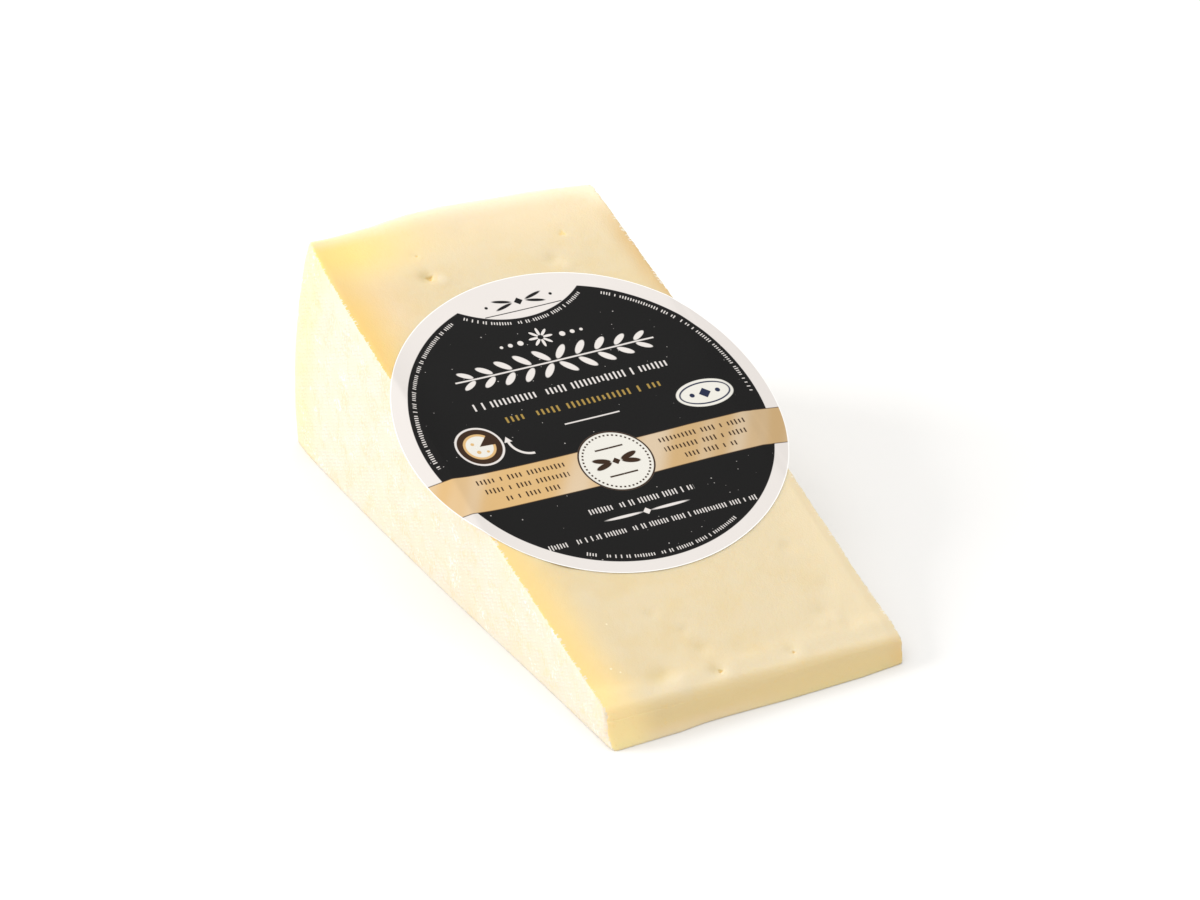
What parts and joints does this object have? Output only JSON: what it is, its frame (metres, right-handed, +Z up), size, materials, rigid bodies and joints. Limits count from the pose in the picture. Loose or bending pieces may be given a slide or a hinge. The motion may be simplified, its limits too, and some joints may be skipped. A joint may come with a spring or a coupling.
{
  "type": "raclette cheese wedge",
  "caption": "Wedge of pale raclette cheese lying on a cut face, with its thin rind on both sides and rim, a cut-off tip, and a round paper label that overhangs both sides of the top.",
  "frame": {"origin": "middle of the footprint, on the surface that the wedge lies on", "axes": "+Z up; +Y from the low cut-off tip towards the thick rim; +X across the wheel's thickness, towards the right seen from the tip"},
  "size_m": [0.0888, 0.15, 0.0554],
  "materials": {
    "cheese_paste": "satin, slightly translucent paste with a pale matte rind",
    "label_paper": "coated paper, printed black with a tan band and a cream roundel"
  },
  "bodies": {
    "root": {"cheese": "cheese_paste", "label": "label_paper"}
  },
  "joints": []
}
